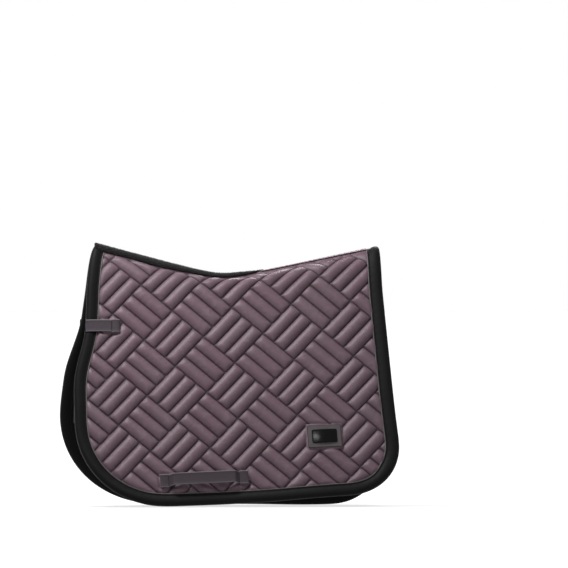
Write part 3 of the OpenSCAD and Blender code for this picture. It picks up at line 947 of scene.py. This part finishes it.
def webbing_section(width, thick):
    """The webbing's section: flat, with raised selvedges."""
    top = WEBBING_SIDE + [(0, 0.6)] + [(-a, b) for a, b in WEBBING_SIDE[::-1]]
    return [(a * width / 2, b * thick / 2) for a, b in top + WEBBING_UNDER]


def strap(half, origin, slope, stops, height, width, thick):
    """Webbing through stops along a slope on the cloth, each at its own height."""
    path = np.column_stack((stops, height))
    way = np.gradient(path, axis=0)
    way /= np.hypot(*way.T)[:, None]
    section = np.array(webbing_section(width, thick))
    along = path[:, :1] - way[:, 1:] * section[:, 1]
    up = path[:, 1:] + way[:, :1] * section[:, 1]
    across = np.broadcast_to(section[:, 0], along.shape)
    x = origin[0] + along * math.cos(slope) - across * math.sin(slope)
    y = origin[1] + along * math.sin(slope) + across * math.cos(slope)
    room = half.place(x.ravel(), y.ravel(), up.ravel()).reshape(*along.shape, 3)
    run = run_along(path)
    texture = np.stack((np.broadcast_to(run[:, None], along.shape), across / (width / 2), up), 2)
    return tube(room, texture)


webbing = Finish("ribbon webbing", {"Specular IOR Level": 0.2})
on_cloth = webbing.cloth()
along = webbing.add("SeparateXYZ", {}, {"Vector": on_cloth})
across = abs(webbing.add("SeparateXYZ", {}, {"Vector": on_cloth}, 1))
ribs = along.maths("SINE", along * 5200)
# Painted highlight: a thin band along each edge of the webbing is painted lighter.
painted_selvedge_highlight = webbing.step(across, 0.83, 0.90)
worn = webbing.noise(on_cloth, 60.0, 4.0, 0.6)
ribbon = webbing.tint(worn, (0.030, 0.021, 0.028, 1), (0.056, 0.045, 0.054, 1))
ribbon = webbing.tint(painted_selvedge_highlight * 0.85, ribbon, (0.170, 0.150, 0.165, 1))
webbing.join(webbing.shader, {"Base Color": webbing.tint(ribs * 0.15 + 0.15, ribbon,
                                                         (0.022, 0.016, 0.020, 1)),
                              "Roughness": 0.42 + worn * 0.15})
webbing.raise_by(ribs * 0.5 + worn, 0.00025)
hook_tape = Finish("hook tape", {"Base Color": (0.012, 0.012, 0.013, 1)})
grain = hook_tape.noise(hook_tape.cloth(), 700.0, 2.0)
hook_tape.join(hook_tape.shader, {"Roughness": 0.35 + grain * 0.3})
hook_tape.raise_by(grain, 0.0003)


def front_tab(half):
    side = half.side
    lo, hi = half.box(side + "_tab_webbing")
    anchor_lo, anchor_hi = half.box(side + "_tab_anchor")
    middle_y = (lo[1] + hi[1]) / 2
    width = hi[1] - lo[1]
    start, bend, end = anchor_lo[0], lo[0] + 0.9 * MM, hi[0]
    base, top = anchor_hi[2] - 0.2 * MM, (lo[2] + hi[2]) / 2
    stops = np.linspace(start, end, 46)
    height = np.interp(stops, (start, start + 4 * MM, bend, end - 16 * MM, end),
                       (base - 0.5 * MM, base, top, top + 0.5 * MM, top - 0.2 * MM))
    bm = strap(half, (0, middle_y), 0, stops, height, width, 1.7 * MM)
    tab = new_piece(side + "_front_tab", bm, webbing)
    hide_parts(side + "_tab_webbing", side + "_tab_anchor")
    hinge = half.place(bend, middle_y, top)[0]
    ahead = half.place(bend + 3 * MM, middle_y, top)[0]
    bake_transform(tab)
    far = width / 2 - 2.6 * MM
    box = [(start + 2 * MM, -far), (start + 2 * MM, far), (bend - 2 * MM, far),
           (bend - 2 * MM, -far), (start + 2 * MM, -far)]
    seam = [(x, middle_y + y, base + 1.1 * MM) for x, y in box]
    piece = sew(side + "_front_tab_thread", half, [seam], mauve_thread, 2.4 * MM)
    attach(piece, side + "_flap")

    lo, hi = half.box(side + "_tab_hooks")
    size, middle = hi - lo, (lo + hi) / 2
    bm = bmesh.new()
    bmesh.ops.create_cube(bm, size=1.0, matrix=Matrix.Diagonal((*size, 1)))
    bmesh.ops.bevel(bm, geom=bm.edges, offset=0.3 * MM, segments=2, profile=0.5,
                    affect="EDGES", material=-1)
    hooks = fibre_mesh(0.3 * MM, 0.9 * MM)
    grid = np.mgrid[-0.44:0.44:13j, -0.44:0.44:15j].reshape(2, -1).T * size[:2]
    grow(bm, hooks, [(*place, -size[2] / 2 + 0.2 * MM) for place in grid],
         [(0.4, 0, -1)] * len(grid), 0.15, np.random.default_rng(7))
    bmesh.ops.translate(bm, verts=bm.verts, vec=middle)
    lay(bm, half)
    bmesh.ops.recalc_face_normals(bm, faces=bm.faces)
    piece = new_piece(side + "_tab_hook_field", bm, hook_tape, side + "_tab")
    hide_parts(side + "_tab_hooks")

    lo, hi = half.box(side + "_tab_patch")
    stops = np.linspace(lo[0], hi[0], 40)
    bare = np.clip((stops - end) / (hi[0] - end), 0, 1)
    height = 7.1 * MM + 3.6 * MM * np.sin(math.pi * bare) ** 0.75
    bm = strap(half, (0, middle_y), 0, stops, height, width + 2.4 * MM, 1.3 * MM)
    piece = new_piece(side + "_tab_keeper", bm, webbing, side + "_flap")
    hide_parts(side + "_tab_patch")


for half in (near, off):
    front_tab(half)

# ---- Webbing: girth straps -----------------------------------------------------------
# A loop of the same webbing near the lower edge takes the girth. It is sewn flat at both
# ends under folded caps, and stands off the pad between them.

GIRTH_SLOPE = math.radians(2.9)
GIRTH_WIDTH, GIRTH_THICK = 25 * MM, 1.7 * MM


def girth_loop(half):
    side, slope = half.side, GIRTH_SLOPE
    patches = [sum(half.box(f"{side}_girth_{end}_patch")) / 2 for end in ("front", "rear")]
    lo, hi = half.box(side + "_girth_strap")
    origin = (patches[0] + patches[1]) / 2
    reach = np.hypot(*(patches[1] - patches[0])[:2]) / 2
    foot = 8 * MM
    room = hi[2] - lo[2] - 1.8 * MM
    base = lo[2] + 0.9 * MM
    stops = np.linspace(-reach - foot, reach + foot, 110)
    inside_end = reach - foot - np.abs(stops)
    rise = smoothly(-1 * MM, 12 * MM, inside_end)
    bow = 0.9 * MM * np.cos(stops / reach * 1.4)
    height = base + (room - 0.9 * MM) * rise + bow * rise
    bm = strap(half, origin, slope, stops, height, GIRTH_WIDTH, GIRTH_THICK)
    piece = new_piece(side + "_girth_webbing", bm, webbing, side + "_flap")
    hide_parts(side + "_girth_strap")
    for end, middle in zip(("front", "rear"), patches):
        stops = np.linspace(-foot - 0.4 * MM, foot + 0.4 * MM, 22)
        height = middle[2] + 0.7 * MM * (1 - (stops / foot) ** 4)
        bm = strap(half, middle, slope, stops, height, GIRTH_WIDTH + 2.5 * MM, GIRTH_THICK)
        piece = new_piece(f"{side}_girth_{end}_cap", bm, webbing, side + "_flap")
        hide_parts(f"{side}_girth_{end}_patch")
        a, b = foot - 2.2 * MM, GIRTH_WIDTH / 2 - 2.2 * MM
        corners = [(-a, -b), (a, -b), (a, b), (-a, b), (-a, -b), (a, b), (a, -b), (-a, b)]
        seam = [(middle[0] + x * math.cos(slope) - y * math.sin(slope),
                 middle[1] + x * math.sin(slope) + y * math.cos(slope),
                 middle[2] + 1.4 * MM) for x, y in corners]
        piece = sew(f"{side}_girth_{end}_thread", half, [seam], mauve_thread, 2.4 * MM)
        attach(piece, side + "_flap")


for half in (near, off):
    girth_loop(half)

# ---- Badge ---------------------------------------------------------------------------
# A stiff patch with a bevelled rim and a groove round it is sewn down near the rear corner.
# It holds a small glossy plate, a little domed and left blank.

BADGE_SLOPE = math.radians(2.5)


def on_badge(bm, lift):
    """Turns a shape drawn about the badge's middle onto the flap."""
    lo, hi = near.box("badge_patch")
    bmesh.ops.rotate(bm, verts=bm.verts, cent=(0, 0, 0),
                     matrix=Matrix.Rotation(BADGE_SLOPE, 3, "Z"))
    bmesh.ops.translate(bm, verts=bm.verts, vec=(*((lo + hi) / 2)[:2], lift))
    lay(bm, near)


def top_face(bm):
    return max(bm.faces, key=lambda face: face.calc_center_median().z)


def moulded(size, profile):
    """A slab whose top is inset and raised step by step, with its edges rounded."""
    bm = bmesh.new()
    bmesh.ops.create_cube(bm, size=1.0, matrix=Matrix.Translation((0, 0, size[2] / 2))
                          @ Matrix.Diagonal((*size, 1)))
    upright = [e for e in bm.edges if abs(e.verts[0].co.z - e.verts[1].co.z) > MM / 2]
    bmesh.ops.bevel(bm, geom=upright, offset=2.2 * MM, segments=4, profile=0.5,
                    affect="EDGES", material=-1)
    for inset, lift in profile:
        face = top_face(bm)
        bmesh.ops.inset_region(bm, faces=[face], thickness=inset * MM, depth=0)
        bmesh.ops.translate(bm, verts=face.verts, vec=(0, 0, lift * MM))
    return bm


patch_coat = Finish("moulded patch", {"Specular IOR Level": 0.25})
places = patch_coat.cloth()
pebble = patch_coat.add("TexVoronoi", {"feature": "SMOOTH_F1"}, {"Vector": places,
                                                                "Scale": 1500.0})
scuffs = patch_coat.noise(places, 160.0, 4.0, 0.6)
in_by = patch_coat.mark("in_by")
# Painted shade: the patch is darkened to near black along its outer edge and towards the plate.
painted_groove_shade = 1 - patch_coat.step(in_by, 1.2, 2.3) * (1 - patch_coat.step(in_by, 7.2, 8.4))
coat = patch_coat.tint(scuffs, (0.090, 0.074, 0.082, 1), (0.140, 0.122, 0.130, 1))
patch_coat.join(patch_coat.shader, {
    "Base Color": patch_coat.tint(painted_groove_shade * 0.85, coat, (0.008, 0.005, 0.007, 1)),
    "Roughness": 0.36 + scuffs * 0.16})
patch_coat.raise_by(pebble, 0.0002)
PATCH_SIZE = (68 * MM, 47 * MM, 1.4 * MM)
patch = moulded(PATCH_SIZE, ((0.4, 0.1), (1.2, -0.1), (0.5, 0.7), (0.6, 0.5), (1.9, 0.35),
                             (1.6, 0.0), (1.2, -0.5), (0.8, -0.7), (1.0, -0.2)))
in_by = patch.verts.layers.float.new("in_by")
for vert in patch.verts:
    vert[in_by] = min(PATCH_SIZE[0] / 2 - abs(vert.co.x), PATCH_SIZE[1] / 2 - abs(vert.co.y)) / MM
on_badge(patch, near.box("badge_patch")[0][2])
piece = new_piece("badge_frame", patch, patch_coat, "near_flap")
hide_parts("badge_patch")

gloss = Finish("glossy black plate", {"Base Color": (0.002, 0.002, 0.0022, 1),
                                      "Specular IOR Level": 0.08})
smears = gloss.noise(gloss.cloth(), 90.0, 3.0, 1.0)
gloss.join(gloss.shader, {"Roughness": 0.13 + smears * 0.06})
PLATE_SIZE, PLATE_DOME = (50 * MM, 27 * MM, 1.0 * MM), 2.0 * MM
plate_bm = moulded(PLATE_SIZE, ((0.35, 0.25), (0.5, 0.15), (0.8, 0.08)))
bmesh.ops.subdivide_edges(plate_bm, edges=[e for e in plate_bm.edges
                                           if abs(e.verts[0].co.x - e.verts[1].co.x) > 5 * MM],
                          cuts=15, use_grid_fill=True)
for vert in plate_bm.verts:
    vert.co.z += PLATE_DOME * (1 - (vert.co.x / (PLATE_SIZE[0] / 2)) ** 2)
on_badge(plate_bm, near.box("badge_plate")[0][2])
piece = new_piece("badge_blank", plate_bm, gloss, "near_flap")
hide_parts("badge_plate")

# ---- Care label ----------------------------------------------------------------------
# A blank dark satin label folded double, sewn to the lining of the off half by its
# front end.

label_lo, label_hi = off.box("care_label")
label_size = label_hi - label_lo
label = bmesh.new()
bmesh.ops.create_grid(label, x_segments=14, y_segments=20, size=0.5)
for vert in label.verts:
    curl = MM * (0.6 * math.sin(9 * vert.co.y) * (vert.co.x + 0.5) + 1.6 * (vert.co.x + 0.5) ** 2)
    vert.co = (vert.co.x * label_size[0] + (label_lo[0] + label_hi[0]) / 2,
               vert.co.y * label_size[1] + (label_lo[1] + label_hi[1]) / 2,
               label_lo[2] - 0.2 * MM - curl)
lay(label, off)
bmesh.ops.solidify(label, geom=label.faces, thickness=0.4 * MM)
bmesh.ops.recalc_face_normals(label, faces=label.faces)
label_satin = Finish("label satin", {"Roughness": 0.45, "Specular IOR Level": 0.2})
threads = label_satin.noise(label_satin.stretched(label_satin.cloth(), (3000, 900, 1)), 1.0, 1.0)
label_satin.join(label_satin.shader, {"Base Color": label_satin.tint(
    threads, (0.030, 0.029, 0.031, 1), (0.055, 0.053, 0.056, 1))})
label_satin.raise_by(threads, 0.00015)
piece = new_piece("blank_care_label", label, label_satin, "off_flap")
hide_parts("care_label")

# ---- Floor, light and camera -----------------------------------------------------------
# A plain white floor and surround, which still take the pad's shadow, and soft lamps.

FRAME_M = 1.136  # what the view spans, at the pad's middle
AIM = Vector((0.112, 0, 0.444))
DISTANCE = 50.0
AZIMUTH, ELEVATION = math.radians(-5), math.radians(0.3)
SKY = 0.22  # how strongly the surround lights the pad

FLOOR_REACH = 60
bm = bmesh.new()
bmesh.ops.create_grid(bm, x_segments=1, y_segments=1, size=FLOOR_REACH)
floor_mesh = as_mesh("floor", bm)
floor = bpy.data.objects.new("floor", floor_mesh)
bpy.context.scene.collection.objects.link(floor)
white = Finish("white floor", {"Base Color": (0.34, 0.34, 0.34, 1), "Roughness": 0.9,
                               "Emission Strength": 1.0})
seen = white.add("LightPath", {}, {}, CAMERA_RAY)
for ray in (GLOSSY_RAY, TRANSMISSION_RAY):
    seen = seen.maths("MAXIMUM", seen, white.add("LightPath", {}, {}, ray))
on_floor = white.add("TexCoord", {}, {}, OBJECT_PLACE)
away = white.add("VectorMath", {"operation": "LENGTH"}, {0: on_floor}, 1)
white.join(white.shader, {"Emission Color": seen * (0.68 + 0.32 * white.step(away, 0.35, 1.8))})
floor_mesh.materials.append(white.material)

world = bpy.data.worlds.new("studio")
bpy.context.scene.world = world
world.use_nodes = True
backdrop = world.node_tree.nodes["Background"]
backdrop.inputs["Color"].default_value = (1, 1, 1, 1)
path = world.node_tree.nodes.new("ShaderNodeLightPath")
seen = Wire(path.outputs[CAMERA_RAY])
for ray in (GLOSSY_RAY, TRANSMISSION_RAY):
    seen = seen.maths("MAXIMUM", seen, Wire(path.outputs[ray]))
strength = seen * (1 - SKY) + SKY
world.node_tree.links.new(strength.socket, backdrop.inputs["Strength"])


def soft_light(name, at, aim, size, power):
    data = bpy.data.lights.new(name, "AREA")
    data.shape, data.energy = "ELLIPSE", power
    data.size, data.size_y = size
    light = bpy.data.objects.new(name, data)
    light.location = at
    light.rotation_euler = (Vector(aim) - Vector(at)).to_track_quat("-Z", "Y").to_euler()
    bpy.context.scene.collection.objects.link(light)


soft_light("key", (-0.58, -0.50, 1.72), (0, -0.1, 0.25), (0.45, 0.45), 35)
soft_light("glint", (-0.30, -2.4, 2.0), (0.18, -0.16, 0.14), (0.5, 0.2), 11)
soft_light("back", (0.6, 1.6, 1.9), (0, 0.1, 0.25), (0.9, 0.9), 28)

back = Vector((math.sin(AZIMUTH) * math.cos(ELEVATION), -math.cos(AZIMUTH) * math.cos(ELEVATION),
               math.sin(ELEVATION)))
camera_data = bpy.data.cameras.new("camera")
camera_data.sensor_width = 36
camera_data.lens = camera_data.sensor_width / FRAME_M * DISTANCE
camera_data.clip_end = 200
camera = bpy.data.objects.new("camera", camera_data)
camera.location = AIM + back * DISTANCE
camera.rotation_euler = (-back).to_track_quat("-Z", "Y").to_euler()
bpy.context.scene.collection.objects.link(camera)
bpy.context.scene.camera = camera
bpy.context.scene.view_settings.view_transform = "Standard"
